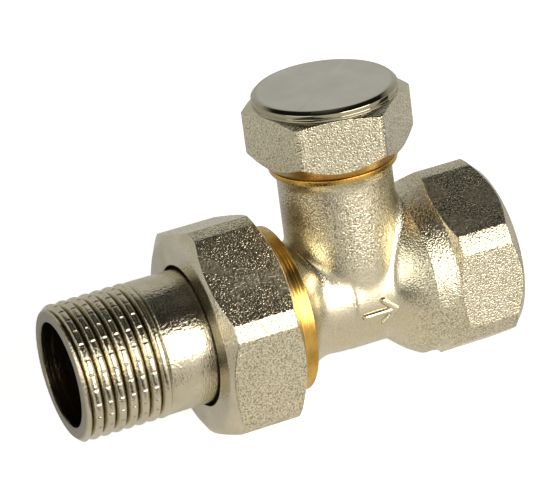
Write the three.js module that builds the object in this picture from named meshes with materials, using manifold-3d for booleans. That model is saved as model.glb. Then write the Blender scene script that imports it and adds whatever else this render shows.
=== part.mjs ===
// A half-inch straight lockshield valve for a radiator: a forged body with a female pipe socket, a union tail
// held by a nut, and a screwed headwork under a protective cap. Millimetres, +Z up along the spindle.
// The origin of the exported group is the centre of the pipe socket's mouth, with +X pointing out of it.
import * as THREE from "three";
import { mergeVertices } from "three/addons/utils/BufferGeometryUtils.js";
import Module from "manifold-3d";

const wasm = await Module();
wasm.setup();

// ---- Driving dimensions. Lengths along X are measured from the spindle axis, along Z from the flow axis. ----
const GAP = 0.3; // running gap kept between neighbouring pieces
const PIPE_PITCH = 1.814; // 14 threads to the inch, both the half-inch and the three-quarter-inch thread

const SOCKET = { face: 23.3, bottom: 9.2, minor: 9.3, mouth: 10.9, flats: 26.9, corner: 14.73, rim: 13.42 };
const TUBE = { radius: 9.05, creaseAt: -2.9 };
const BULGE = { centre: 16.1, radius: 14.8, edge: 12.93, edgeAt: 8.9, root: 13.2, rootAt: 12.0 };
const UNION = { face: -21.5, thread: 13.1, relief: 12.3, collar: 12.8, collarLeft: -14.0, collarRight: -11.2 };
const SEAT_CONE = { mouth: 11.9, throat: 10.0, depth: 5.3 };
const OUTLET = { radius: 7.6, end: -6.6 };
const COLLAR_FILLET = { at: -6.0, radius: 14.15, size: 5.37 };
const NECK = { radius: 8.7, top: 26.4, flareBottom: 19.0, collar: 9.7, collarBottom: 20.9, collarTop: 21.7, thread: 8.9 };
const CHAMBER = { radius: 7.0, floor: -0.8, top: 15.0, threadRadius: 7.4 };
const SEAT = { port: 4.8, lip: 5.8, top: 0.0, bottom: -7.0 };
const PASSAGE = { halfWidth: 4.6, low: -7.2, high: -2.2 };

const TAIL = { end: -47.0, bore: 8.0, rim: 9.68, root: 9.3, crest: 10.45, threadEnd: -33.0, plain: 10.3 };
const FLANGE = { radius: 12.3, left: -23.2, right: -21.8 };
const NOSE = { right: -16.6, grooveAt: -19.0, grooveRadius: 9.6, grooveHalf: 0.8 };
const NUT = { front: -26.3, back: -13.9, flats: 30.8, corner: 17.1, hole: 10.9, bore: 13.4, wall: -23.5, turn: 19.9 };

const CAP = { bottom: 22.0, top: 33.05, flats: 22.24, corner: 12.63, rim: 9.9, disc: 10.9, bore: 9.3, turn: -45 };
const CAP_FLATS = { bottom: 24.6, top: 30.86, chamferTop: 31.4 };
const CAP_INSIDE = { threadEnd: 28.0, ceiling: 30.8 };
const LINER = { radius: 8.4, bottom: 29.55, top: 30.5 };
const BONNET = { bottom: 9.0, lower: 6.7, step: 15.2, upper: 7.1, flange: 8.1, head: 27.4, top: 29.2, flats: 14 };
const GLAND = { bore: 4.9, threadBore: 6.1, shoulder: 15.5 };
const SPINDLE = { top: 28.4, stem: 4.6, thread: 5.8, shoulder: 15.2, threadBottom: 10.5, key: 6.0, keyBottom: 24.4 };
const FOOT = { radius: 3.2, neck: 2.2, bottom: 8.3, top: 9.3 };
const RING_LOW_Z = 21.0;
const RING_HIGH_Z = 23.0;
const PLUG = { radius: 5.8, bottom: 6.9, top: 10.1, spigot: 1.8, spigotBottom: 5.0, screwHole: 1.5 };
const DISC = { radius: 5.5, bore: 2.1, bottom: 4.9, top: 6.6 };
const WASHER = { radius: 3.2, bore: 1.5, bottom: 4.3, top: 4.6 };
const SCREW = { head: 2.5, headBottom: 2.7, headTop: 4.0, shank: 1.2, shankTop: 7.3, slot: 0.7, slotDepth: 0.6 };

const ROUND = 40; // sides of the large turned surfaces
const SMALL_ROUND = 24; // sides of the small ones
const OVER = 1.0; // how far a cutter reaches past the face it opens

// ---- Geometry helpers ----

// A three.js geometry as a manifold-3d solid, with its vertices merged and its faces turned outwards.
function solidOf(geometry) {
  const bare = geometry.index ? geometry.toNonIndexed() : geometry.clone();
  for (const name of Object.keys(bare.attributes)) {
    if (name !== "position") bare.deleteAttribute(name);
  }
  const merged = mergeVertices(bare, 1e-4);
  const index = merged.index.array;
  const kept = [];
  for (let i = 0; i < index.length; i += 3) {
    const [a, b, c] = [index[i], index[i + 1], index[i + 2]];
    if (a !== b && b !== c && a !== c) kept.push(a, b, c);
  }
  const vertProperties = new Float32Array(merged.attributes.position.array);
  const build = (triangles) =>
    new wasm.Manifold(new wasm.Mesh({ numProp: 3, vertProperties, triVerts: new Uint32Array(triangles) }));
  const made = build(kept);
  if (made.volume() > 0) return made;
  for (let i = 0; i < kept.length; i += 3) {
    [kept[i + 1], kept[i + 2]] = [kept[i + 2], kept[i + 1]];
  }
  return build(kept);
}

// A manifold-3d solid as a three.js geometry.
function geometryOf(solid) {
  const mesh = solid.getMesh();
  const positions = new Float32Array(mesh.numVert * 3);
  for (let i = 0; i < mesh.numVert; i++) {
    positions.set(mesh.vertProperties.subarray(i * mesh.numProp, i * mesh.numProp + 3), i * 3);
  }
  const geometry = new THREE.BufferGeometry();
  geometry.setAttribute("position", new THREE.BufferAttribute(positions, 3));
  geometry.setIndex(new THREE.BufferAttribute(new Uint32Array(mesh.triVerts), 1));
  geometry.computeVertexNormals();
  return geometry;
}

// A turned solid. The profile is a list of [radius, height]; it closes on itself unless both ends are on the axis.
function turned(profile, axis = "z", sides = ROUND) {
  const points = profile.map(([radius, height]) => new THREE.Vector2(radius, height));
  if (points[0].x > 0) points.push(points[0].clone());
  const geometry = new THREE.LatheGeometry(points, sides);
  if (axis === "z") geometry.rotateX(Math.PI / 2);
  else geometry.rotateZ(-Math.PI / 2);
  return solidOf(geometry);
}

// A solid cylinder along an axis, centred on it.
function rod(radius, from, to, axis = "z", sides = ROUND) {
  return turned([[0, from], [radius, from], [radius, to], [0, to]], axis, sides);
}

// A hexagonal prism; turn is the angle of one corner, in degrees, in the plane across the prism.
function hexagon(flats, from, to, axis = "z", turn = 0) {
  const corner = flats / Math.sqrt(3);
  const shape = new THREE.Shape();
  for (let i = 0; i < 6; i++) {
    const angle = THREE.MathUtils.degToRad(turn + 60 * i);
    const point = [corner * Math.cos(angle), corner * Math.sin(angle)];
    if (i === 0) shape.moveTo(...point);
    else shape.lineTo(...point);
  }
  const geometry = new THREE.ExtrudeGeometry(shape, { depth: to - from, bevelEnabled: false });
  geometry.translate(0, 0, from);
  // The turn below takes the prism's (x, y, z) to (z, x, y), so that its angle runs from +Y towards +Z.
  if (axis === "x") geometry.applyMatrix4(new THREE.Matrix4().set(0, 0, 1, 0, 1, 0, 0, 0, 0, 1, 0, 0, 0, 0, 0, 1));
  return solidOf(geometry);
}

// An O-ring about the z or the x axis.
function oRing(ringRadius, cordRadius, height, axis = "z") {
  const geometry = new THREE.TorusGeometry(ringRadius, cordRadius, 8, SMALL_ROUND);
  if (axis === "x") geometry.rotateY(Math.PI / 2).translate(height, 0, 0);
  else geometry.translate(0, 0, height);
  return solidOf(geometry);
}

// The points of an arc in a profile. Its centre is a radius and a place along the axis; angles are in degrees from the
// direction of the axis towards larger radii.
function arc(centreRadius, centreAt, size, fromAngle, toAngle, steps = 5) {
  return Array.from({ length: steps + 1 }, (_, i) => {
    const angle = THREE.MathUtils.degToRad(fromAngle + ((toAngle - fromAngle) * i) / steps);
    return [centreRadius + size * Math.sin(angle), centreAt + size * Math.cos(angle)];
  });
}

// A right-handed helical ridge about the x axis, closed at both ends. Its crest rises from the root over the first
// and the last turn, which is how a die leaves a thread.
function helicalRidge({ root, crest, pitch, from, to, stepsPerTurn = 20 }) {
  const rootHalf = 0.44 * pitch;
  const crestHalf = 0.1 * pitch;
  const steps = Math.round(((to - from - 2 * rootHalf) / pitch) * stepsPerTurn);
  const positions = [];
  for (let i = 0; i <= steps; i++) {
    const angle = (2 * Math.PI * i) / stepsPerTurn;
    const middle = from + rootHalf + (pitch * i) / stepsPerTurn;
    const rise = Math.min(1, 0.1 + i / stepsPerTurn, 0.1 + (steps - i) / stepsPerTurn);
    const top = root + (crest - root) * rise;
    const section = [[-rootHalf, root], [-crestHalf, top], [crestHalf, top], [rootHalf, root]];
    for (const [along, radius] of section) {
      positions.push(middle + along, radius * Math.cos(angle), radius * Math.sin(angle));
    }
  }
  const corners = 4;
  const index = [];
  for (let i = 0; i < steps; i++) {
    for (let j = 0; j < corners; j++) {
      const [a, b] = [i * corners + j, i * corners + ((j + 1) % corners)];
      index.push(a, b, a + corners, b, b + corners, a + corners);
    }
  }
  const last = steps * corners;
  index.push(0, 2, 1, 0, 3, 2, last, last + 1, last + 2, last, last + 2, last + 3);
  const geometry = new THREE.BufferGeometry();
  geometry.setAttribute("position", new THREE.Float32BufferAttribute(positions, 3));
  geometry.setIndex(index);
  return solidOf(geometry);
}

// ---- Materials ----
const finish = (color, roughness, metalness) => new THREE.MeshStandardMaterial({ color, roughness, metalness });
const forgedNickel = finish(0xb9b3a0, 0.42, 1.0);
const turnedNickel = finish(0xc4bfae, 0.22, 1.0);
const bareBrass = finish(0xd9a441, 0.28, 1.0);
const rubber = finish(0x1c1c1c, 0.75, 0.0);
const fibre = finish(0x8a3b2e, 0.85, 0.0);
const steel = finish(0xa8a9ab, 0.3, 1.0);

// ---- The body ----

// Outside: the union end, the tube, the bulge in front of the socket and the socket's hexagon.
function bodyShell() {
  const turnedPart = turned(
    [
      [0, UNION.face],
      [UNION.thread - 0.9, UNION.face],
      [UNION.thread, UNION.face + 0.9],
      [UNION.thread, UNION.collarLeft - 0.8],
      [UNION.relief, UNION.collarLeft - 0.8],
      [UNION.relief, UNION.collarLeft],
      [UNION.collar, UNION.collarLeft],
      [UNION.collar, UNION.collarRight],
      ...arc(COLLAR_FILLET.radius, COLLAR_FILLET.at, COLLAR_FILLET.size, -160, -90),
      [TUBE.radius, TUBE.creaseAt],
      ...arc(0, BULGE.centre, BULGE.radius, 142.3, 121),
      [BULGE.edge, BULGE.edgeAt],
      [BULGE.root, BULGE.rootAt],
      [0, BULGE.rootAt],
    ],
    "x",
  );
  const neck = turned([
    [0, 0],
    [NECK.radius, 0],
    [NECK.radius, NECK.flareBottom],
    [NECK.radius + 0.3, NECK.collarBottom - 0.9],
    [NECK.collar, NECK.collarBottom],
    [NECK.collar, NECK.collarTop],
    [NECK.thread, NECK.collarTop],
    [NECK.thread, NECK.top - 0.7],
    [NECK.thread - 0.5, NECK.top],
    [0, NECK.top],
  ]);
  // One corner of the hexagon is on top, in the parting plane of the forging.
  const flats = hexagon(SOCKET.flats, BULGE.edgeAt + 1, SOCKET.face, "x", 90);
  const envelope = turned(
    [
      [0, BULGE.edgeAt + 1],
      [BULGE.edge, BULGE.edgeAt + 1],
      [SOCKET.rim, BULGE.rootAt + 0.7],
      [SOCKET.corner, BULGE.rootAt + 1.4],
      [SOCKET.corner, SOCKET.face - 1.75],
      [SOCKET.rim, SOCKET.face - 0.5],
      [13.0, SOCKET.face],
      [0, SOCKET.face],
    ],
    "x",
  );
  return turnedPart.add(neck).add(flats.intersect(envelope));
}

// Inside: the way from the socket under the seat, up through it, and out at the union end.
function bodyBores() {
  const socket = turned(
    [
      [0, SOCKET.bottom],
      [SOCKET.minor, SOCKET.bottom],
      [SOCKET.minor, SOCKET.face - 1.6],
      [SOCKET.mouth, SOCKET.face],
      [SOCKET.mouth, SOCKET.face + OVER],
      [0, SOCKET.face + OVER],
    ],
    "x",
  );
  const union = turned(
    [
      [0, UNION.face - OVER],
      [SEAT_CONE.mouth, UNION.face - OVER],
      [SEAT_CONE.mouth, UNION.face],
      [SEAT_CONE.throat, UNION.face + SEAT_CONE.depth],
      [OUTLET.radius, UNION.face + SEAT_CONE.depth],
      [OUTLET.radius, OUTLET.end],
      [0, OUTLET.end],
    ],
    "x",
  );
  const chamber = turned([
    [0, CHAMBER.floor],
    [CHAMBER.radius, CHAMBER.floor],
    [CHAMBER.radius, CHAMBER.top],
    [CHAMBER.threadRadius, CHAMBER.top],
    [CHAMBER.threadRadius, NECK.top - 0.65],
    [8.2, NECK.top - 0.65],
    [8.2, NECK.top + OVER],
    [0, NECK.top + OVER],
  ]);
  const lip = turned([
    [SEAT.port, CHAMBER.floor - OVER],
    [SEAT.lip, CHAMBER.floor - OVER],
    [SEAT.lip - 0.3, SEAT.top],
    [SEAT.port, SEAT.top],
  ]);
  const port = rod(SEAT.port, SEAT.bottom, SEAT.top + OVER);
  const passage = new THREE.BoxGeometry(SOCKET.bottom + OVER, 2 * PASSAGE.halfWidth, PASSAGE.high - PASSAGE.low);
  passage.translate((SOCKET.bottom + OVER) / 2, 0, (PASSAGE.high + PASSAGE.low) / 2);
  const inside = rod(TUBE.radius - 1.45, 0, SOCKET.bottom + OVER, "x");
  return chamber.subtract(lip).add(port).add(solidOf(passage).intersect(inside)).add(socket).add(union);
}

const body = () => bodyShell().subtract(bodyBores());

// ---- The union: tail, its ring and the nut ----

function tailpiece() {
  const nose = (x) => {
    const slope = (SEAT_CONE.mouth - SEAT_CONE.throat) / SEAT_CONE.depth;
    return SEAT_CONE.mouth - slope * (x - UNION.face) - GAP - 0.1;
  };
  const tube = turned(
    [
      [TAIL.bore, TAIL.end],
      [TAIL.rim, TAIL.end],
      [TAIL.root, TAIL.end + 0.5],
      [TAIL.root, TAIL.threadEnd],
      [TAIL.plain, TAIL.threadEnd + 1.0],
      [TAIL.plain, FLANGE.left],
      [FLANGE.radius, FLANGE.left],
      [FLANGE.radius, FLANGE.right],
      [nose(UNION.face + 0.1), FLANGE.right],
      [nose(UNION.face + 0.1), UNION.face + 0.1],
      [nose(NOSE.grooveAt - NOSE.grooveHalf), NOSE.grooveAt - NOSE.grooveHalf],
      [NOSE.grooveRadius, NOSE.grooveAt - NOSE.grooveHalf],
      [NOSE.grooveRadius, NOSE.grooveAt + NOSE.grooveHalf],
      [nose(NOSE.grooveAt + NOSE.grooveHalf), NOSE.grooveAt + NOSE.grooveHalf],
      [nose(NOSE.right), NOSE.right],
      [TAIL.bore, NOSE.right],
    ],
    "x",
  );
  const ridge = helicalRidge({
    root: TAIL.root - 0.15,
    crest: TAIL.crest,
    pitch: PIPE_PITCH,
    from: TAIL.end + 0.2,
    to: TAIL.threadEnd + 0.6,
  });
  // Two ribs inside, for the key that screws the tail into the radiator.
  const rib = new THREE.BoxGeometry(6.0, 2.6, 1.9);
  const ribs = [1, -1].map((side) => solidOf(rib.clone().translate(-31.0, 0, side * (TAIL.bore - 0.25))));
  return tube.add(ridge).add(ribs[0]).add(ribs[1]);
}

function unionNut() {
  const flats = hexagon(NUT.flats, NUT.front, NUT.back, "x", 180 - NUT.turn);
  const chamfer = 1.45;
  const faceRadius = 14.6;
  const envelope = turned(
    [
      [0, NUT.front],
      [faceRadius, NUT.front],
      [NUT.corner, NUT.front + chamfer],
      [NUT.corner, NUT.back - chamfer],
      [faceRadius, NUT.back],
      [0, NUT.back],
    ],
    "x",
  );
  const bore = turned(
    [
      [0, NUT.front - OVER],
      [NUT.hole, NUT.front - OVER],
      [NUT.hole, NUT.wall],
      [NUT.bore, NUT.wall],
      [NUT.bore, NUT.back + OVER],
      [0, NUT.back + OVER],
    ],
    "x",
  );
  return flats.intersect(envelope).subtract(bore);
}

// ---- The headwork: bonnet, spindle and plug ----

function bonnet() {
  const outside = turned([
    [0, BONNET.bottom],
    [BONNET.lower, BONNET.bottom],
    [BONNET.lower, BONNET.step],
    [BONNET.upper, BONNET.step],
    [BONNET.upper, NECK.top - 0.3],
    [BONNET.upper, NECK.top + 0.35],
    [BONNET.flange, NECK.top + 0.35],
    [BONNET.flange, BONNET.head],
    [0, BONNET.head],
  ]);
  const head = hexagon(BONNET.flats, BONNET.head - 0.1, BONNET.top);
  const bore = turned(
    [
      [0, BONNET.bottom - OVER],
      [GLAND.threadBore, BONNET.bottom - OVER],
      [GLAND.threadBore, GLAND.shoulder],
      [GLAND.bore, GLAND.shoulder],
      [GLAND.bore, BONNET.top + OVER],
      [0, BONNET.top + OVER],
    ],
    "z",
    SMALL_ROUND,
  );
  return outside.add(head).subtract(bore);
}

function spindle() {
  const groove = (z) => [[SPINDLE.stem, z - 0.7], [3.7, z - 0.7], [3.7, z + 0.7], [SPINDLE.stem, z + 0.7]];
  const shaft = turned(
    [
      [0, FOOT.bottom],
      [FOOT.radius, FOOT.bottom],
      [FOOT.radius, FOOT.top],
      [FOOT.neck, FOOT.top],
      [FOOT.neck, SPINDLE.threadBottom],
      [SPINDLE.thread, SPINDLE.threadBottom],
      [SPINDLE.thread, SPINDLE.shoulder],
      [SPINDLE.stem, SPINDLE.shoulder],
      ...groove(RING_LOW_Z),
      ...groove(RING_HIGH_Z),
      [SPINDLE.stem, SPINDLE.top - 0.4],
      [SPINDLE.stem - 0.4, SPINDLE.top],
      [0, SPINDLE.top],
    ],
    "z",
    SMALL_ROUND,
  );
  return shaft.subtract(hexagon(SPINDLE.key, SPINDLE.keyBottom, SPINDLE.top + OVER));
}

// The plug hangs on the spindle's foot by its crimped rim, so it does not turn on the seat.
const plugDisc = () =>
  turned(
    [
      [PLUG.screwHole, PLUG.spigotBottom],
      [PLUG.spigot, PLUG.spigotBottom],
      [PLUG.spigot, PLUG.bottom],
      [PLUG.radius, PLUG.bottom],
      [PLUG.radius, PLUG.top - 0.6],
      [PLUG.radius - 0.6, PLUG.top],
      [FOOT.neck + GAP, PLUG.top],
      [FOOT.neck + GAP, FOOT.top + GAP],
      [FOOT.radius + GAP, FOOT.top + GAP],
      [FOOT.radius + GAP, FOOT.bottom - GAP],
      [PLUG.screwHole, FOOT.bottom - GAP],
    ],
    "z",
    SMALL_ROUND,
  );

const ringOf = ({ radius, bore, bottom, top }) =>
  turned([[bore, bottom], [radius, bottom], [radius, top], [bore, top]], "z", SMALL_ROUND);

function sealScrew() {
  const slot = new THREE.BoxGeometry(2 * SCREW.head + OVER, SCREW.slot, 2 * SCREW.slotDepth);
  slot.translate(0, 0, SCREW.headBottom);
  return turned(
    [
      [0, SCREW.headBottom],
      [SCREW.head - 0.5, SCREW.headBottom],
      [SCREW.head, SCREW.headBottom + 0.5],
      [SCREW.head, SCREW.headTop],
      [SCREW.shank, SCREW.headTop],
      [SCREW.shank, SCREW.shankTop],
      [0, SCREW.shankTop],
    ],
    "z",
    SMALL_ROUND,
  ).subtract(solidOf(slot));
}

// ---- The cap and its liner ----

function protectiveCap() {
  const flats = hexagon(CAP.flats, CAP.bottom, CAP_FLATS.chamferTop, "z", CAP.turn - 90);
  const envelope = turned([
    [0, CAP.bottom],
    [CAP.rim, CAP.bottom],
    [CAP.corner, CAP_FLATS.bottom],
    [CAP.corner, CAP_FLATS.top],
    [CAP.flats / 2, CAP_FLATS.chamferTop],
    [0, CAP_FLATS.chamferTop],
  ]);
  const disc = turned([
    [0, CAP_FLATS.top],
    [CAP.disc, CAP_FLATS.top],
    [CAP.disc, CAP.top - 0.4],
    [CAP.disc - 0.4, CAP.top],
    [0, CAP.top],
  ]);
  const hollow = turned([
    [0, CAP.bottom - OVER],
    [CAP.bore, CAP.bottom - OVER],
    [CAP.bore, CAP_INSIDE.threadEnd],
    [LINER.radius + GAP, CAP_INSIDE.threadEnd],
    [LINER.radius + GAP, CAP_INSIDE.ceiling],
    [0, CAP_INSIDE.ceiling],
  ]);
  return flats.intersect(envelope).add(disc).subtract(hollow);
}

// ---- Assembly ----
const valve = new THREE.Group();

function place(name, solid, material) {
  const mesh = new THREE.Mesh(geometryOf(solid), material);
  mesh.name = name;
  valve.add(mesh);
}

place("body", body(), forgedNickel);
place("tailpiece", tailpiece(), turnedNickel);
place("tail_o_ring", oRing(10.3, 0.6, NOSE.grooveAt, "x"), rubber);
place("union_nut", unionNut(), forgedNickel);
place("bonnet", bonnet(), bareBrass);
place("bonnet_o_ring", oRing(7.65, 0.38, NECK.top - 0.16), rubber);
place("spindle", spindle(), bareBrass);
place("spindle_o_ring_lower", oRing(4.3, 0.5, RING_LOW_Z), rubber);
place("spindle_o_ring_upper", oRing(4.3, 0.5, RING_HIGH_Z), rubber);
place("plug_disc", plugDisc(), bareBrass);
place("plug_seal", ringOf(DISC), rubber);
place("seal_washer", ringOf(WASHER), steel);
place("seal_screw", sealScrew(), steel);
place("cap_liner", rod(LINER.radius, LINER.bottom, LINER.top), fibre);
place("protective_cap", protectiveCap(), forgedNickel);

// The frame's origin is the centre of the socket's mouth.
valve.position.x = -SOCKET.face;

export default valve;
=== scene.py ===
import math

import bmesh
import bpy
import numpy as np
from mathutils import Matrix, Vector


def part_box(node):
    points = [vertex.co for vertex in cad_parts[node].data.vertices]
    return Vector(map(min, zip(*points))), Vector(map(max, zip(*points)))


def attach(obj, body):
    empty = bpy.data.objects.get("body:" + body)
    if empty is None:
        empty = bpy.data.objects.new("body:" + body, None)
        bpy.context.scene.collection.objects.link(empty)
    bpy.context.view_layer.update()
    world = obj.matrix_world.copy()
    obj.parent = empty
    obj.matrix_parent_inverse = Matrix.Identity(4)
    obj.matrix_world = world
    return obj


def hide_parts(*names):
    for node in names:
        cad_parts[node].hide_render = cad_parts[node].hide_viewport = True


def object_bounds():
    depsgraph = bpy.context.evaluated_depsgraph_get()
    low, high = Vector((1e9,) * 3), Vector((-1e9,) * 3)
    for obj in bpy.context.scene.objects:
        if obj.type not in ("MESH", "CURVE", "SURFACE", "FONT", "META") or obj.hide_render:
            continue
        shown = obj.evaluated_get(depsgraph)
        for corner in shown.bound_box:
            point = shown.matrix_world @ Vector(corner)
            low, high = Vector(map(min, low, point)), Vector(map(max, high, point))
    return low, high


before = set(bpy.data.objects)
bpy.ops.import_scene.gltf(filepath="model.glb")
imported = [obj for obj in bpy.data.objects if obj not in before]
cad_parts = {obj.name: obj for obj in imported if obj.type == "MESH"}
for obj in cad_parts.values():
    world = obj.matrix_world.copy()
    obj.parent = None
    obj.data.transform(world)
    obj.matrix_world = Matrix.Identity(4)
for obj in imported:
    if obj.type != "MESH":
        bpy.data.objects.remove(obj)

CAD_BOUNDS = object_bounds()

# ---- Measures ----
# Lengths are millimetres in the valve's own coordinates: X from the spindle's axis, Z from the flow's axis.
# An outline's last details, such as a relief or a chamfer, stand beside the points that they shape.
MM = 0.001
SPINDLE_AXIS = (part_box("spindle")[0].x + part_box("spindle")[1].x) / 2


def low(node, axis):
    """The lowest place of a CAD node along an axis, in the valve's coordinates."""
    return (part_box(node)[0]["xyz".index(axis)] - (SPINDLE_AXIS if axis == "x" else 0)) / MM


def high(node, axis):
    """The highest place of a CAD node along an axis, in the valve's coordinates."""
    return (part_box(node)[1]["xyz".index(axis)] - (SPINDLE_AXIS if axis == "x" else 0)) / MM


PIPE_PITCH = 1.814  # 14 threads to the inch
PIPE_DEPTH = 1.16  # from root to crest
CAP_PITCH = 1.5
BONNET_PITCH = 1.0  # the bonnet's thread and the spindle's
CREST_SHAPE = 2.8  # 2 makes a thread's crests round, and more makes them flatter

SOCKET_FACE = high("body", "x")
SOCKET_TURN = 90  # the angle of one corner, from +Y towards +Z
SOCKET_FLATS = 13.45  # from the axis to a flat
SOCKET_CORNER = 14.73
SOCKET_RIM = 13.42  # where the chamfers of the socket's hexagon begin
SOCKET_BACK = 12.7
SOCKET_CHAMFER = 0.5
SOCKET_CREST = 9.3  # the female thread's inner radius
SOCKET_RELIEF = 9.9
SOCKET_MOUTH = 10.9
BULGE_EDGE = 8.9
BULGE_CENTRE = 16.1
BULGE_RADIUS = 14.8
BULGE_BLEND = 1.6

UNION_FACE = low("body", "x")
UNION_ROOT, UNION_CREST = 12.25, 13.1
UNION_RELIEF = 12.2
COLLAR_LEFT = -14.0
COLLAR_RIGHT = -11.2
COLLAR_RADIUS = 12.8
OUTLET_RADIUS, OUTLET_END = 7.6, -6.6
FILLET_AT, FILLET_RADIUS, FILLET_SIZE = -6.0, 14.15, 5.37
CREASE_AT, CREASE_TOP, CREASE_DEPTH, CREASE_WIDTH = -2.9, 6.5, 0.2, 0.3
TUBE_RADIUS = 9.05
PARTING_HEIGHT, PARTING_WIDTH = 0.07, 0.5
FORGING_END = -12.3  # inside the union's collar
FORGING_INSET = 0.03  # how far the forging stays inside the collars at its ends
BLEND_LEAST, BLEND_LEFT, BLEND_RIGHT = 0.35, 2.2, 4.0  # the fillet between the tube and the neck
BLEND_FROM, BLEND_TO = -5, 6.5  # the fillet grows towards both places

ARROW_MIDDLE, ARROW_ELEVATION = 0.9, -7  # along the tube, and in degrees above its front
ARROW_HALF, ARROW_BARB, ARROW_RIDGE = 2.5, 1.9, 0.52

NECK_RADIUS = 8.7
NECK_TOP = high("body", "z")
FLARE_BOTTOM, COLLAR_BOTTOM, COLLAR_TOP = 19.0, 20.9, 21.7
NECK_COLLAR = 9.7
NECK_ROOT, NECK_CREST = 8.25, 8.9
NECK_CORE = 8.2
NECK_INNER_CREST, NECK_INNER_ROOT = 7.25, 7.7  # the bonnet's thread in the neck
NECK_MOUTH = 8.15

SEAT_TOP, SEAT_RIM = 0.0, 5.5
PORT_RADIUS, PORT_BOTTOM = 4.8, -7.0
CHAMBER_RADIUS, CHAMBER_FLOOR, CHAMBER_TOP = 7.0, -0.8, 15.0

NUT_FRONT = low("union_nut", "x")
NUT_BACK = high("union_nut", "x")
NUT_FLATS = 15.4
NUT_CORNER = 17.07
NUT_FACE = 14.6
NUT_HOLE = 10.9
NUT_CHAMFER = 1.45  # its length along the axis at a corner
NUT_THREAD_CREST, NUT_THREAD_ROOT, NUT_THREAD_END = 13.35, 14.0, -22.4
NUT_SHOULDER = -23.5
NUT_RELIEF = 13.9
NUT_TURN = 180 - 19.9  # the angle of one corner, from +Y towards +Z

TAIL_END = low("tailpiece", "x")
TAIL_NOSE = high("tailpiece", "x")
TAIL_BORE = 8.0
TAIL_ROOT, TAIL_CREST = 9.45, 10.45
TAIL_PLAIN = 10.3
TAIL_THREAD_END = -33.4
FLANGE_RADIUS, FLANGE_LEFT, FLANGE_RIGHT = 12.3, -23.2, -21.8
NOSE_GROOVE, NOSE_GROOVE_LEFT, NOSE_GROOVE_RIGHT = 9.6, -19.8, -18.2
NOSE_RING = (NOSE_GROOVE_LEFT + NOSE_GROOVE_RIGHT) / 2
NICKS = 28  # notches round each thread crest, for the sealing strand
NICK_DEPTH, NICK_WIDTH = 0.13, 0.15
RIB_MIDDLE, RIB_HALF_LENGTH, RIB_HALF_WIDTH = -31, 3.0, 1.3
RIB_INNER, RIB_OUTER = 6.8, TAIL_BORE + 0.6  # how far from the axis a rib in the tail reaches

CAP_BOTTOM = low("protective_cap", "z")
CAP_TOP = high("protective_cap", "z")
CAP_FLATS = 11.12
CAP_CORNER = 12.63
CAP_RIM = 9.9
CAP_DISC = 10.9
CAP_SHOULDER = 31.4  # the top of the hexagon
CAP_CEILING = 30.8
CAP_RELIEF, CAP_RELIEF_BOTTOM = 8.7, 28.2
CAP_THREAD_CREST, CAP_THREAD_ROOT = 9.3, 9.75
CAP_TURN = 225  # the angle of one corner, from +X towards +Y

BONNET_FLATS, BONNET_CORNER = 7.0, 7.9
BONNET_FLANGE, FLANGE_TOP = 8.1, 27.4
BONNET_BORE, BONNET_SHOULDER = 6.1, 15.5
BONNET_ROOT, BONNET_CREST = 6.75, 7.15
GLAND_BORE = 4.9

STEM_RADIUS, STEM_GROOVE = 4.6, 3.7
STEM_ROOT, STEM_CREST = 5.3, 5.8
LOWER_RING, UPPER_RING = 21.0, 23.0
FOOT_RADIUS, FOOT_NECK = 3.2, 2.2
KEY_FLATS, KEY_CORNER, KEY_BOTTOM = 3.0, 3.4, 24.4
PLUG_RADIUS = 5.8
SCREW_BOTTOM = 2.7

# ---- Meshes ----
FORGED, TURNED, BRASS, POLISHED = range(4)  # the finishes, and their places among a piece's materials
FILLET_STEPS = 4
ROUND = 144
MERGE_WITHIN = 0.0004
SHARP_ANGLE = 38  # an edge that turns by more degrees than this stays sharp


def smooth_min(a, b, size):
    """The lower of a and b, with a rounded change from one to the other."""
    share = np.clip(0.5 + 0.5 * (b - a) / size, 0, 1)
    return b + (a - b) * share - size * share * (1 - share)


def turns(count=ROUND):
    """Angles once round a turned piece, the first and the last being the same place."""
    return np.linspace(0, 2 * math.pi, count + 1)


def hexagon_angles(turn, flats, corner):
    """Angles once round a hexagon, closer together where a flat meets the round corner."""
    edge = math.degrees(math.acos(flats / corner))
    half = [*range(0, 24, 3), edge - 1.0, edge - 0.6, edge - 0.3, edge, edge + 0.3, edge + 0.7]
    half = [a for a in half if a < 30] + [(edge + 30.7) / 2, 30]
    sector = sorted(set([-a for a in half] + half))
    whole = [turn + 30 + 60 * side + a for side in range(6) for a in sector[:-1]]
    return np.radians(np.array(whole + [whole[0] + 360]))


def hexagon_radius(angles, turn, flats, corner):
    """How far the outline of a hexagon with rounded corners lies from the axis."""
    blend = 0.06
    from_flat = (np.degrees(angles) - turn) % 60 - 30
    return smooth_min(flats / np.cos(np.radians(from_flat)), corner, blend)


def point(radius, at, fillet=0.0, finish=FORGED):
    """One corner of a turned outline, and the finish of the surface from it to the next one."""
    return (radius, at, fillet, finish)


def thread_radius(phase, root, crest):
    """The radius of a thread with round crests, where phase runs from 0 to 1 and the crest is at 0.5."""
    away = np.abs(phase - np.floor(phase) - 0.5)
    return root + (crest - root) * (1 - (2 * away) ** CREST_SHAPE)


def thread(angles, start, end, pitch, root, crest, finish, shape=None, columns=6):
    """The outline of a right-handed thread from start to end, with so many columns of points to a pitch.

    shape(radius, at, angles) may trim or notch it.
    """
    lowest, highest = min(start, end), max(start, end)
    turned_by = (angles - angles[0]) / (2 * math.pi)
    outline = []
    for column in range(int((highest - lowest) / pitch + 2) * columns + 1):
        at = np.clip(lowest + pitch * (column / columns - 1 + turned_by), lowest, highest)
        radius = thread_radius((at - lowest) / pitch - turned_by, root, crest)
        if shape is not None:
            radius = shape(radius, at, angles)
        outline.append(point(radius, at, 0.0, finish))
    return outline if end > start else outline[::-1]


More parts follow.
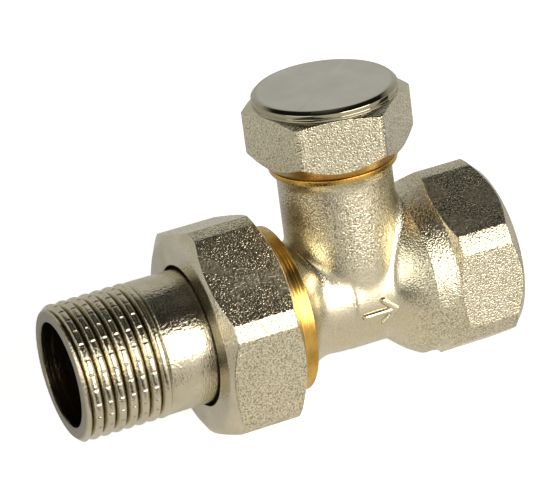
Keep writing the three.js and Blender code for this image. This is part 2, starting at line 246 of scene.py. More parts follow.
def machined_lines(start, end, radius, count, depth, width, finish):
    """Shallow turned grooves, evenly spaced from start to end."""
    profile = ((-1, 0), (-0.5, 0.8), (0, 1), (0.5, 0.8), (1, 0))
    outline = []
    for i in range(count):
        middle = start + (end - start) * (i + 0.5) / count
        for away, sunk in profile:
            outline.append(point(radius - depth * sunk, middle + width * away, 0, finish))
    return outline


def outline_rows(outline, angles):
    """The outline at every angle, with its corners rounded.

    Returns the places, by angle, point and (radius, at), and the finish of each step along the outline.
    """
    rows = len(angles)
    corners = np.empty((rows, len(outline), 2))
    for i, (radius, at, _, _) in enumerate(outline):
        corners[:, i, 0] = radius
        corners[:, i, 1] = at
    places, finishes = [], []
    for i, (_, _, fillet, finish) in enumerate(outline):
        here = corners[:, i]
        if fillet <= 0:
            places.append(here)
            finishes.append(finish)
            continue
        back = corners[:, i - 1] - here
        ahead = corners[:, (i + 1) % len(outline)] - here
        back_length = np.linalg.norm(back, axis=1, keepdims=True)
        ahead_length = np.linalg.norm(ahead, axis=1, keepdims=True)
        reach = np.minimum(fillet, 0.45 * np.minimum(back_length, ahead_length))
        start = here + back / np.maximum(back_length, 1e-9) * reach
        end = here + ahead / np.maximum(ahead_length, 1e-9) * reach
        for step in range(FILLET_STEPS + 1):
            s = step / FILLET_STEPS
            places.append((1 - s) ** 2 * start + 2 * s * (1 - s) * here + s * s * end)
            finishes.append(outline[i - 1][3] if step < FILLET_STEPS / 2 else finish)
    return np.stack(places, axis=1), finishes


def mesh_object(name, vertices, faces, finishes=None):
    """A closed smooth mesh object from places in millimetres.

    Vertices that touch are merged, and the faces are turned outwards.
    """
    mesh = bpy.data.meshes.new(name)
    shifted = np.asarray(vertices, float) * MM
    shifted[:, 0] += SPINDLE_AXIS
    mesh.from_pydata(shifted.tolist(), [], [list(map(int, f)) for f in faces])
    if finishes is not None:
        mesh.polygons.foreach_set("material_index", np.asarray(finishes, np.int32))
    shape = bmesh.new()
    shape.from_mesh(mesh)
    bmesh.ops.remove_doubles(shape, verts=shape.verts, dist=MERGE_WITHIN * MM)
    bmesh.ops.dissolve_degenerate(shape, edges=shape.edges, dist=1e-8)
    bmesh.ops.delete(shape, geom=[edge for edge in shape.edges if edge.is_wire], context="EDGES")
    if shape.calc_volume(signed=True) < 0:
        bmesh.ops.reverse_faces(shape, faces=shape.faces)
    shape.to_mesh(mesh)
    shape.free()
    mesh.shade_smooth()
    made = bpy.data.objects.new(name, mesh)
    bpy.context.scene.collection.objects.link(made)
    return made


def turned(name, outline, angles, axis="x"):
    """A solid whose closed outline may change with the angle round the flow's axis or the spindle's ("z")."""
    places, finishes = outline_rows(outline, angles)
    rows, columns = places.shape[:2]
    radius, at = places[..., 0], places[..., 1]
    cosine, sine = np.cos(angles)[:, None], np.sin(angles)[:, None]
    if axis == "x":
        vertices = np.stack([at, radius * cosine, radius * sine], axis=-1)
    else:
        vertices = np.stack([radius * cosine, radius * sine, at], axis=-1)
    index = np.arange(rows * columns).reshape(rows, columns)
    following = np.roll(index, -1, axis=1)
    faces = np.stack([index[:-1], following[:-1], following[1:], index[1:]], axis=-1).reshape(-1, 4)
    slots = np.stack([np.broadcast_to(f, rows - 1) for f in finishes], axis=1).reshape(-1)
    return mesh_object(name, vertices.reshape(-1, 3), faces, slots)


def net_points(values):
    """One point in each grid cell that the surface crosses.

    Returns the number of each cell's point, and the points in grid steps from the lowest corner.
    """
    shape = tuple(n - 1 for n in values.shape)
    corners = [(i, j, k) for i in (0, 1) for j in (0, 1) for k in (0, 1)]

    def at_corner(array, corner):
        return array[tuple(slice(c, c + n) for c, n in zip(corner, shape))]

    filled = sum(at_corner(values < 0, c).astype(int) for c in corners)
    mixed = (filled > 0) & (filled < 8)
    total = np.zeros(shape + (3,))
    count = np.zeros(shape)
    for a in corners:
        for axis in range(3):
            if a[axis]:
                continue
            b = tuple(1 if i == axis else c for i, c in enumerate(a))
            value_a, value_b = at_corner(values, a), at_corner(values, b)
            crossed = (value_a < 0) != (value_b < 0)
            share = np.where(crossed, value_a / np.where(crossed, value_a - value_b, 1), 0)
            place = np.array(a, float)[None, None, None, :] + share[..., None] * np.eye(3)[axis]
            total += np.where(crossed[..., None], place, 0)
            count += crossed
    cells = np.argwhere(mixed)
    number = -np.ones(shape, int)
    number[mixed] = np.arange(len(cells))
    return number, cells + total[mixed] / count[mixed][:, None]


def net_faces(inside, number):
    """A face round each grid edge that the surface crosses, between the points of the four cells at it."""
    faces = []
    for axis in range(3):
        u, v = (axis + 1) % 3, (axis + 2) % 3
        one = tuple(slice(0, -1) if i == axis else slice(None) for i in range(3))
        two = tuple(slice(1, None) if i == axis else slice(None) for i in range(3))
        for cell in np.argwhere(inside[one] != inside[two]):
            around = []
            for du, dv in ((-1, -1), (0, -1), (0, 0), (-1, 0)):
                other = cell.copy()
                other[u] += du
                other[v] += dv
                around.append(number[tuple(other)])
            faces.append(around if inside[tuple(cell)] else around[::-1])
    return faces


def field_slope(field, places):
    """How steeply the field rises along each axis at some places."""
    nudge = 0.02
    slopes = []
    for along in nudge * np.eye(3):
        slopes.append((field(*(places + along).T) - field(*(places - along).T)) / (2 * nudge))
    return np.stack(slopes, axis=1)


def surface_net(name, field, lowest, highest, step):
    """A closed mesh on the surface where field(x, y, z) is zero; the field is negative inside."""
    axes = [np.arange(a, b + step, step) for a, b in zip(lowest, highest)]
    values = field(*np.meshgrid(*axes, indexing="ij"))
    number, vertices = net_points(values)
    vertices = np.array(lowest) + vertices * step
    for _ in range(4):  # each round brings the points nearer to the surface
        slope = field_slope(field, vertices)
        move = field(*vertices.T)[:, None] * slope / np.maximum((slope ** 2).sum(1, keepdims=True), 0.2)
        vertices = vertices - np.clip(move, -0.2 * step, 0.2 * step)
    return mesh_object(name, vertices, net_faces(values < 0, number))


def give(piece, materials):
    """Gives a piece its materials, in the order of the finishes."""
    for material in materials:
        piece.data.materials.append(material)


def combine(target, tool, operation):
    """Joins the tool to the target, or cuts it away, and removes the tool. Each surface keeps its finish."""
    give(tool, target.data.materials)
    modifier = target.modifiers.new("combine", "BOOLEAN")
    modifier.object = tool
    modifier.operation = operation
    modifier.solver = "MANIFOLD"
    bpy.context.view_layer.update()
    graph = bpy.context.evaluated_depsgraph_get()
    result = bpy.data.meshes.new_from_object(target.evaluated_get(graph))
    target.modifiers.remove(modifier)
    target.data = result
    bpy.data.objects.remove(tool)
    return target


# ---- Finishes ----
RADIUS_SHARE = 50.0  # turns a distance from the axis in metres into a share of 20 mm, for a ramp


def fill_ramp(ramp, stops):
    """Sets the stops of a colour ramp; each is a place and a colour or grey."""
    while len(ramp.elements) < len(stops):
        ramp.elements.new(0.5)
    for element, (place, colour) in zip(ramp.elements, stops):
        element.position = place
        element.color = (*colour, 1) if isinstance(colour, tuple) else (colour, colour, colour, 1)


class Finish:
    """A procedural material under construction: a principled shader and the nodes that feed it."""

    def __init__(self, name, metallic=0.0):
        self.material = bpy.data.materials.new("fine_" + name)
        self.material.use_nodes = True
        self.tree = self.material.node_tree
        self.shader = self.tree.nodes["Principled BSDF"]
        self.shader.inputs["Metallic"].default_value = metallic
        self.place = self.tree.nodes.new("ShaderNodeTexCoord").outputs["Object"]

    def node(self, kind, inputs=(), **settings):
        """A new node with its settings made; each input is filled by a value or by another node's output."""
        made = self.tree.nodes.new(kind)
        for key, value in settings.items():
            setattr(made, key, value)
        for key, value in dict(inputs).items():
            if isinstance(value, bpy.types.NodeSocket):
                self.tree.links.new(value, made.inputs[key])
            else:
                made.inputs[key].default_value = value
        return made

    def feed(self, socket, value):
        """Fills an input of the shader with a value or with another node's output."""
        if isinstance(value, bpy.types.NodeSocket):
            self.tree.links.new(value, self.shader.inputs[socket])
        else:
            self.shader.inputs[socket].default_value = value

    def noise(self, size, detail=2.0, roughness=0.5, vector=None):
        """Noise whose features are about size metres across."""
        return self.node("ShaderNodeTexNoise", {
            "Vector": vector or self.place, "Scale": 1 / size, "Detail": detail, "Roughness": roughness,
        }).outputs["Fac"]

    def ramp(self, value, stops):
        """Colours or greys along a value from 0 to 1."""
        made = self.node("ShaderNodeValToRGB", {"Fac": value})
        fill_ramp(made.color_ramp, stops)
        return made.outputs["Color"]

    def maths(self, operation, *values):
        """The result of a sum on one, two or three values."""
        return self.node("ShaderNodeMath", enumerate(values), operation=operation).outputs["Value"]

    def bump(self, height, depth, under=None):
        """A bump of this depth in metres, over another one."""
        inputs = {"Height": height, "Distance": depth, "Strength": 1.0}
        if under is not None:
            inputs["Normal"] = under
        return self.node("ShaderNodeBump", inputs).outputs["Normal"]

    def tint(self, colour, mask):
        """A colour multiplied by a mask."""
        inputs = {0: 1.0, 6: colour, 7: mask}  # the factor and the two colours; output 2 is their mix
        return self.node("ShaderNodeMix", inputs, data_type="RGBA", blend_type="MULTIPLY").outputs[2]

    def by_radius(self, around, stops):
        """A ramp over the distance from an axis, from 0 to 20 mm."""
        distance = self.node("ShaderNodeSeparateXYZ", {"Vector": around}).outputs["Y"]
        return self.ramp(self.maths("MULTIPLY", distance, RADIUS_SHARE), stops)

    def around(self, axis):
        """The place along an axis and the distance from it, which don't change round a turned piece."""
        parts = self.node("ShaderNodeSeparateXYZ", {"Vector": self.place})
        across = parts.outputs["Z"]
        if axis == "z":
            across = self.maths("SUBTRACT", parts.outputs["X"], SPINDLE_AXIS)
        first = self.maths("MULTIPLY", across, across)
        second = self.maths("MULTIPLY", parts.outputs["Y"], parts.outputs["Y"])
        distance = self.maths("SQRT", self.maths("ADD", first, second))
        along = parts.outputs["Z" if axis == "z" else "X"]
        return self.node("ShaderNodeCombineXYZ", {"X": along, "Y": distance, "Z": 0.0}).outputs["Vector"]


def blasted_nickel():
    """Nickel plate over a shot-blasted forging: a warm grey with a sparkling grain that fades on the tube."""
    finish = Finish("blasted_nickel", metallic=1.0)
    coarse = finish.by_radius(finish.around("x"), [(0.48, 0.25), (0.64, 1.0), (0.9, 1.0), (0.98, 0.8)])
    grain = finish.maths("SUBTRACT", finish.noise(0.00025, detail=1.2, roughness=0.5), 0.5)
    grain = finish.maths("ADD", finish.maths("MULTIPLY", grain, coarse), 0.5)
    clouds = finish.noise(0.006, detail=2.0)
    finish.feed("Normal", finish.bump(grain, 0.00013))
    finish.feed("Base Color", finish.ramp(grain, [
        (0.33, (0.34, 0.29, 0.17)), (0.47, (0.62, 0.56, 0.39)), (0.62, (0.79, 0.73, 0.53))]))
    finish.feed("Roughness", finish.ramp(clouds, [(0.3, 0.23), (0.7, 0.29)]))
    return finish.material


def turned_nickel(axis):
    """Nickel plate over a turned surface, with tool lines round the axis and painted shade in the tail's
    thread roots and its bore.
    """
    finish = Finish(f"turned_nickel_{axis}", metallic=1.0)
    around = finish.around(axis)
    lines = finish.noise(0.00022, detail=2.0, vector=around)
    bands = finish.noise(0.0012, detail=2.0, vector=around)
    clouds = finish.noise(0.004, detail=3.0)
    grain = finish.noise(0.0004, detail=3.0)
    under = finish.bump(bands, 0.00003)
    finish.feed("Normal", finish.bump(grain, 0.00008, finish.bump(lines, 0.00003, under)))
    plate = finish.ramp(clouds, [(0.3, (0.56, 0.50, 0.35)), (0.7, (0.69, 0.63, 0.47))])
    # Painted shade: the colour darkens inside about 9.6 mm from the axis, in the tail's thread roots and its
    # bore.
    root_shade = finish.by_radius(around, [(0.478, (0.42, 0.40, 0.35)), (0.500, 1.0)])
    finish.feed("Base Color", finish.tint(plate, root_shade))
    worn = finish.maths("MULTIPLY", finish.maths("ADD", lines, clouds), 0.5)
    finish.feed("Roughness", finish.ramp(worn, [(0.35, 0.15), (0.65, 0.26)]))
    return finish.material


def bare_brass(axis):
    """Turned brass without plating, with tool lines and a slight tarnish."""
    finish = Finish(f"bare_brass_{axis}", metallic=1.0)
    around = finish.around(axis)
    lines = finish.noise(0.00022, detail=2.0, vector=around)
    clouds = finish.noise(0.003, detail=3.0)
    finish.feed("Normal", finish.bump(lines, 0.000022))
    finish.feed("Base Color", finish.ramp(clouds, [(0.3, (0.47, 0.26, 0.055)), (0.7, (0.72, 0.47, 0.11))]))
    finish.feed("Roughness", finish.ramp(lines, [(0.35, 0.20), (0.65, 0.32)]))
    return finish.material


def polished_nickel():
    """Nickel plate over the fine turned disc and collar of the cap."""
    finish = Finish("polished_nickel", metallic=1.0)
    around = finish.around("z")
    lines = finish.noise(0.00030, detail=2.0, vector=around)
    clouds = finish.noise(0.005, detail=3.0)
    finish.feed("Normal", finish.bump(lines, 0.000003))
    plate = finish.ramp(clouds, [(0.3, (0.57, 0.55, 0.46)), (0.7, (0.65, 0.63, 0.54))])
    # Painted shade: the colour darkens from about 9.8 mm out to the disc's rim, and the collar keeps that
    # darker tone.
    rim_shade = finish.by_radius(around, [(0.49, 1.0), (0.535, (0.66, 0.62, 0.50))])
    finish.feed("Base Color", finish.tint(plate, rim_shade))
    disc = finish.by_radius(around, [(0.51, 1.0), (0.54, 0.0)])
    dull = finish.maths("MULTIPLY", disc, 0.15)
    finish.feed("Roughness", finish.maths("ADD", dull, finish.ramp(clouds, [(0.3, 0.05), (0.7, 0.09)])))
    return finish.material


def rubber():
    """Moulded EPDM with a fine dull bloom."""
    finish = Finish("rubber")
    grain = finish.noise(0.0002, detail=3.0)
    clouds = finish.noise(0.002, detail=2.0)
    finish.feed("Normal", finish.bump(grain, 0.000008))
    black, bloom = (0.012, 0.012, 0.013), (0.030, 0.030, 0.032)
    finish.feed("Base Color", finish.ramp(clouds, [(0.3, black), (0.7, bloom)]))
    finish.feed("Roughness", finish.ramp(clouds, [(0.3, 0.45), (0.7, 0.65)]))
    return finish.material


def pressed_fibre():
    """Red pressed fibre, flecked and matt."""
    finish = Finish("fibre")
    flecks = finish.noise(0.0004, detail=4.0, roughness=0.7)
    finish.feed("Normal", finish.bump(flecks, 0.00003))
    finish.feed("Base Color", finish.ramp(flecks, [(0.35, (0.16, 0.035, 0.022)), (0.65, (0.33, 0.09, 0.06))]))
    finish.feed("Roughness", 0.85)
    return finish.material


def stainless_steel():
    """Turned stainless steel."""
    finish = Finish("stainless_steel", metallic=1.0)
    lines = finish.noise(0.0002, detail=2.0, vector=finish.around("z"))
    finish.feed("Normal", finish.bump(lines, 0.00001))
    finish.feed("Base Color", finish.ramp(lines, [(0.3, (0.50, 0.50, 0.51)), (0.7, (0.62, 0.62, 0.63))]))
    finish.feed("Roughness", finish.ramp(lines, [(0.3, 0.20), (0.7, 0.32)]))
    return finish.material


# The four finishes for pieces turned about the flow's axis, and for those about the spindle's.
ABOUT_X = [blasted_nickel(), turned_nickel("x"), bare_brass("x"), polished_nickel()]
ABOUT_Z = [ABOUT_X[0], turned_nickel("z"), bare_brass("z"), ABOUT_X[3]]


def settle(piece, body, slot, materials, *nodes):
    """Gives a finished piece its materials and soft edges, and puts it in the place of the CAD nodes."""
    if not piece.data.materials:
        give(piece, materials)
    piece.data.set_sharp_from_angle(angle=math.radians(SHARP_ANGLE))
    weighting = piece.modifiers.new("soft edges", "WEIGHTED_NORMAL")
    weighting.keep_sharp = True
    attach(piece, body)
    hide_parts(*nodes)
    return piece


# ---- The body ----

def tube_radius(x):
    """The radius of the forged body round the flow axis, from the collar's fillet to the bulge."""
    fillet = FILLET_RADIUS - np.sqrt(np.clip(FILLET_SIZE ** 2 - (x - FILLET_AT) ** 2, 0, None))
    bulge = np.sqrt(np.clip(BULGE_RADIUS ** 2 - (x - BULGE_CENTRE) ** 2, 0, None))
    waist = FILLET_RADIUS - FILLET_SIZE
    straight = np.interp(x, [FILLET_AT, CREASE_AT], [waist, TUBE_RADIUS])
    radius = np.where(x < FILLET_AT, np.minimum(fillet, COLLAR_RADIUS - FORGING_INSET), straight)
    return -smooth_min(-radius, -bulge, BULGE_BLEND)


def forging_field(x, y, z):
    """Negative inside the forged tube and neck, which meet in a fillet."""
    from_axis = np.hypot(y, z)
    parting = PARTING_HEIGHT * np.exp(-(y / PARTING_WIDTH) ** 2)
    crease = CREASE_DEPTH * np.exp(-((x - CREASE_AT) / CREASE_WIDTH) ** 2)
    crease = crease * np.clip((CREASE_TOP - z) / 2, 0, 1)
    tube = (from_axis - tube_radius(x) - parting + crease) * 0.9  # less, because its sides slope
    raised = np.clip((z - FLARE_BOTTOM) / (COLLAR_BOTTOM - FLARE_BOTTOM), 0, 1)
    flare = raised ** 2 * (NECK_COLLAR - NECK_RADIUS)
    neck = np.hypot(x, y) - NECK_RADIUS - np.minimum(flare, NECK_COLLAR - NECK_RADIUS - FORGING_INSET)
    neck = np.maximum(neck, -z)
    blend = np.where(x < 0, BLEND_LEFT, BLEND_RIGHT)
    softness = BLEND_LEAST + blend * (np.clip(x, BLEND_FROM, BLEND_TO) / NECK_RADIUS) ** 2
    joined = smooth_min(tube, neck, softness)
    ends = np.maximum(np.maximum(FORGING_END - x, x - BULGE_EDGE - 0.5), z - COLLAR_TOP + 0.3)
    return np.maximum(joined, ends)


def forging():
    """The forged tube and neck, cut square where the socket's hexagon begins."""
    lowest = (-12.9, -13.6, -13.6)
    highest = (BULGE_EDGE + 1.2, 13.6, COLLAR_TOP + 0.3)
    made = surface_net("forged_body", forging_field, lowest, highest, 0.3)
    give(made, ABOUT_X)
    trim = turned("trim", [
        point(0, BULGE_EDGE),
        point(16, BULGE_EDGE),
        point(16, 14),
        point(0, 14),
    ], turns(48))
    return combine(made, trim, "DIFFERENCE")


def union_end():
    """The machined end of the body: the union thread, a relief and the bright collar."""
    angles = turns()

    def trimmed(radius, at, _):
        return np.minimum(radius, UNION_CREST - 0.8 + (at - UNION_FACE))

    return turned("union_end", [
        point(0, UNION_FACE, 0, BRASS),
        point(UNION_CREST - 0.9, UNION_FACE, 0.1, BRASS),
        *thread(angles, UNION_FACE + 0.1, COLLAR_LEFT - 0.9, PIPE_PITCH, UNION_ROOT, UNION_CREST, BRASS,
                trimmed, columns=10),
        point(UNION_RELIEF, COLLAR_LEFT - 0.8, 0.1, BRASS),
        point(UNION_RELIEF, COLLAR_LEFT, 0.1, BRASS),
        point(COLLAR_RADIUS, COLLAR_LEFT, 0.15, BRASS),
        *machined_lines(COLLAR_LEFT + 0.35, COLLAR_RIGHT - 0.3, COLLAR_RADIUS, 4, 0.022, 0.14, BRASS),
        point(COLLAR_RADIUS, COLLAR_RIGHT, 0.05, BRASS),
        point(9.0, COLLAR_RIGHT, 0, BRASS),
        point(8.0, COLLAR_RIGHT + 1.5, 0, BRASS),
        point(0, COLLAR_RIGHT + 1.5, 0, BRASS),
    ], angles)


def socket_hexagon():
    """The cone behind the socket's hexagon, the hexagon and its chamfered face."""
    angles = hexagon_angles(SOCKET_TURN, SOCKET_FLATS, SOCKET_CORNER)
    across = hexagon_radius(angles, SOCKET_TURN, SOCKET_FLATS, SOCKET_CORNER)
    back_slope, front_slope = 0.53, 0.95
    back = SOCKET_BACK + (across - SOCKET_RIM) * back_slope
    front = SOCKET_FACE - SOCKET_CHAMFER - (across - SOCKET_RIM) * front_slope
    return turned("socket_hexagon", [
        point(0, 8.4, 0, FORGED),
        point(12.45, 8.4, 0, FORGED),
        point(12.80, 8.95, 0.05, FORGED),
        point(13.2, 12.0, 0.3, FORGED),
        point(SOCKET_RIM, SOCKET_BACK, 0.1, FORGED),
        point(across, back, 0.15, FORGED),
        point(across, front, 0.15, TURNED),
        point(SOCKET_RIM, SOCKET_FACE - SOCKET_CHAMFER, 0.1, TURNED),
        point(13.0, SOCKET_FACE, 0.1, TURNED),
        point(0, SOCKET_FACE, 0, TURNED),
    ], angles)


def neck_top():
    """The turned collar under the cap, and the cap's thread."""
    angles = turns()

    def trimmed(radius, at, _):
        return np.minimum(radius, NECK_CREST - 0.6 + (NECK_TOP - at))

    return turned("neck_top", [
        point(0, 19.5, 0, BRASS),
        point(NECK_CORE, 19.5, 0, BRASS),
        point(NECK_CORE, COLLAR_BOTTOM, 0, BRASS),
        point(NECK_COLLAR, COLLAR_BOTTOM, 0.08, BRASS),
        point(NECK_COLLAR, COLLAR_TOP, 0.12, BRASS),
        point(NECK_ROOT, COLLAR_TOP, 0.1, BRASS),
        point(NECK_ROOT, COLLAR_TOP + 0.4, 0, BRASS),
        *thread(angles, COLLAR_TOP + 0.4, NECK_TOP, CAP_PITCH, NECK_ROOT, NECK_CREST, BRASS, trimmed),
        point(0, NECK_TOP, 0, BRASS),
    ], angles, "z")


def flow_arrow():
    """A raised arrow on the front of the tube, in the direction of the flow."""
    def field(x, y, z):
        along = x - ARROW_MIDDLE
        across = np.abs((np.arctan2(z, -y) - math.radians(ARROW_ELEVATION)) * TUBE_RADIUS)
        shaft = np.hypot(along - np.clip(along, -ARROW_HALF, ARROW_HALF), across)
        run = np.clip((ARROW_HALF - along + across) / 2, 0, ARROW_BARB)
        head = np.hypot(ARROW_HALF - run - along, run - across)
        height = np.hypot(y, z) - tube_radius(x)
        return np.hypot(np.minimum(shaft, head), height) - ARROW_RIDGE

    return surface_net("arrow", field, (-2.3, -11.0, -4.6), (4.2, -6.8, 2.2), 0.12)


def socket_bore():
    """What is cut from the socket: the female pipe thread and its mouth."""
    angles = turns()

    def mouth(radius, at, _):
        return np.maximum(radius, SOCKET_MOUTH - (SOCKET_FACE - at))

    return turned("socket_bore", [
        point(0, 9.2, 0, BRASS),
        point(SOCKET_RELIEF, 9.2, 0.4, BRASS),
        point(SOCKET_RELIEF, 11.2, 0.2, BRASS),
        *thread(angles, 11.4, SOCKET_FACE, PIPE_PITCH, SOCKET_CREST, SOCKET_CREST + PIPE_DEPTH, BRASS,
                mouth, columns=8),
        point(SOCKET_MOUTH, SOCKET_FACE + 1, 0, BRASS),
        point(0, SOCKET_FACE + 1, 0, BRASS),
    ], angles)


def union_bore():
    """What is cut from the union end: the cone for the tail's nose, and the outlet."""
    return turned("union_bore", [
        point(0, UNION_FACE - 1, 0, BRASS),
        point(11.9, UNION_FACE - 1, 0, BRASS),
        point(11.9, UNION_FACE, 0, BRASS),
        point(10.0, UNION_FACE + 5.3, 0.2, BRASS),
        point(OUTLET_RADIUS, UNION_FACE + 5.3, 0.3, BRASS),
        point(OUTLET_RADIUS, OUTLET_END, 0.8, BRASS),
        point(0, OUTLET_END, 0, BRASS),
    ], turns(96))


def chamber_bore():
    """What is cut from the neck: the bonnet's thread, the chamber, and the port through a raised seat."""
    angles = turns(96)
    return turned("chamber_bore", [
        point(0, PORT_BOTTOM, 0, BRASS),
        point(PORT_RADIUS, PORT_BOTTOM, 0.6, BRASS),
        point(PORT_RADIUS, SEAT_TOP, 0.12, BRASS),
        point(SEAT_RIM, SEAT_TOP, 0.12, BRASS),
        point(SEAT_RIM + 0.3, CHAMBER_FLOOR, 0.15, BRASS),
        point(CHAMBER_RADIUS, CHAMBER_FLOOR, 0.3, BRASS),
        point(CHAMBER_RADIUS, CHAMBER_TOP, 0.05, BRASS),
        *thread(angles, CHAMBER_TOP + 0.2, NECK_TOP - 1.4, BONNET_PITCH, NECK_INNER_CREST,
                NECK_INNER_ROOT, BRASS),
        point(7.75, NECK_TOP - 1.2, 0.05, BRASS),
        point(NECK_MOUTH, NECK_TOP - 0.65, 0.05, BRASS),
        point(NECK_MOUTH, NECK_TOP + 1, 0, BRASS),
        point(0, NECK_TOP + 1, 0, BRASS),
    ], angles, "z")


def passage():
    """What is cut between the socket and the port: a low cored channel with rounded corners."""
    half_width, half_height, middle, wall, end = 4.6, 2.5, -4.7, 7.6, 10.2

    def field(x, y, z):
        box = np.maximum(np.abs(y) - half_width, np.abs(z - middle) - half_height)
        inner = np.hypot(y, z) - wall
        return np.maximum(-smooth_min(-box, -inner, 0.8), np.maximum(-x, x - end))

    return surface_net("passage", field, (-0.5, -5.6, -8.2), (10.8, 5.6, -1.4), 0.35)


def body():
    """The forging with its machined ends joined to it and its bores cut."""
    made = forging()
    for part in (union_end(), socket_hexagon(), neck_top(), flow_arrow()):
        combine(made, part, "UNION")
    for cut in (socket_bore(), union_bore(), chamber_bore(), passage()):
        combine(made, cut, "DIFFERENCE")
    return settle(made, "valve_body", "blasted_nickel", ABOUT_X, "body")


# ---- The union ----

def union_nut():
    """The hexagonal nut, with the union thread and a shoulder for the tail's flange."""
    angles = hexagon_angles(NUT_TURN, NUT_FLATS, NUT_CORNER)
    across = hexagon_radius(angles, NUT_TURN, NUT_FLATS, NUT_CORNER)
    slope = NUT_CHAMFER / (NUT_CORNER - NUT_FACE)
    return settle(turned("hexagon_nut", [
        point(NUT_HOLE, NUT_FRONT, 0.15, TURNED),
        point(NUT_FACE, NUT_FRONT, 0.3, TURNED),
        point(across, NUT_FRONT + (across - NUT_FACE) * slope, 0.15, FORGED),
        point(across, NUT_BACK - (across - NUT_FACE) * slope, 0.15, TURNED),
        point(NUT_FACE, NUT_BACK, 0.3, TURNED),
        point(14.1, NUT_BACK, 0.1, BRASS),
        *thread(angles, NUT_BACK - 0.6, NUT_THREAD_END, PIPE_PITCH, NUT_THREAD_CREST, NUT_THREAD_ROOT, BRASS),
        point(NUT_RELIEF, NUT_THREAD_END - 0.2, 0.1, BRASS),
        point(NUT_RELIEF, NUT_SHOULDER, 0.3, BRASS),
        point(NUT_HOLE, NUT_SHOULDER, 0.2, TURNED),
    ], angles), "nut", "blasted_nickel", ABOUT_X, "union_nut")


def tailpiece():
    """The tail: a male pipe thread, a plain shank, a flange for the nut and a grooved cone at the nose."""
    step = 2 * math.pi / NICKS
    near_nick = np.radians([0, 2.2, 4.4, 5.2, 5.7, 6.2, 6.43, 6.66, 7.16, 7.66, 8.5, 10.6])
    angles = np.append((np.arange(NICKS)[:, None] * step + near_nick).ravel(), 2 * math.pi)

    def notched(radius, at, angle):
        """The thread's crests carry notches in rows along the axis; its ends are chamfered and run out."""
        away = np.abs(angle % step - step / 2) * TAIL_CREST
        notch = NICK_DEPTH * np.clip(1.2 - away / NICK_WIDTH, 0, 1)
        inside = (at > TAIL_END + 1.0) & (at < TAIL_THREAD_END - 1.5)
        radius = np.minimum(radius, np.where(inside, TAIL_CREST - notch, TAIL_CREST))
        radius = np.minimum(radius, TAIL_CREST - 0.75 + (at - TAIL_END))
        return np.maximum(radius, TAIL_PLAIN - 0.9 * np.clip(TAIL_THREAD_END - at, 0, None))

    def nose(at):
        return 11.5 - (at - UNION_FACE) * (1.9 / 5.3)

    made = turned("union_tail", [
        point(TAIL_BORE, TAIL_END, 0.25, TURNED),
        point(TAIL_CREST - 0.8, TAIL_END, 0.12, TURNED),
        *thread(angles, TAIL_END + 0.1, TAIL_THREAD_END, PIPE_PITCH, TAIL_ROOT, TAIL_CREST, TURNED,
                notched, columns=14),
        point(TAIL_PLAIN, FLANGE_LEFT, 0.3, TURNED),
        point(FLANGE_RADIUS, FLANGE_LEFT, 0.15, TURNED),
        point(FLANGE_RADIUS, FLANGE_RIGHT, 0.15, TURNED),
        point(nose(UNION_FACE), FLANGE_RIGHT, 0.1, TURNED),
        point(nose(NOSE_GROOVE_LEFT), NOSE_GROOVE_LEFT, 0.08, TURNED),
        point(NOSE_GROOVE, NOSE_GROOVE_LEFT, 0.15, TURNED),
        point(NOSE_GROOVE, NOSE_GROOVE_RIGHT, 0.15, TURNED),
        point(nose(NOSE_GROOVE_RIGHT), NOSE_GROOVE_RIGHT, 0.08, TURNED),
        point(nose(TAIL_NOSE), TAIL_NOSE, 0.2, TURNED),
        point(TAIL_BORE, TAIL_NOSE, 0.3, TURNED),
    ], angles)
    give(made, ABOUT_X)
    for side in (-1, 1):
        combine(made, key_rib(side), "UNION")
    return settle(made, "tail", "turned_nickel", ABOUT_X, "tailpiece")


def key_rib(side):
    """One of the two ribs inside the tail that an assembly key turns it by."""
    lower, upper = sorted((side * RIB_INNER, side * RIB_OUTER))

    def field(x, y, z):
        length = np.abs(x - RIB_MIDDLE) - RIB_HALF_LENGTH
        width = np.abs(y) - RIB_HALF_WIDTH
        height = np.abs(z - (lower + upper) / 2) - (RIB_OUTER - RIB_INNER) / 2
        return np.maximum(np.maximum(length, width), height)

    made = surface_net("rib", field, (-34.6, -1.8, lower - 0.4), (-27.4, 1.8, upper + 0.4), 0.2)
    for polygon in made.data.polygons:
        polygon.material_index = TURNED
    return made


# ---- The cap ----

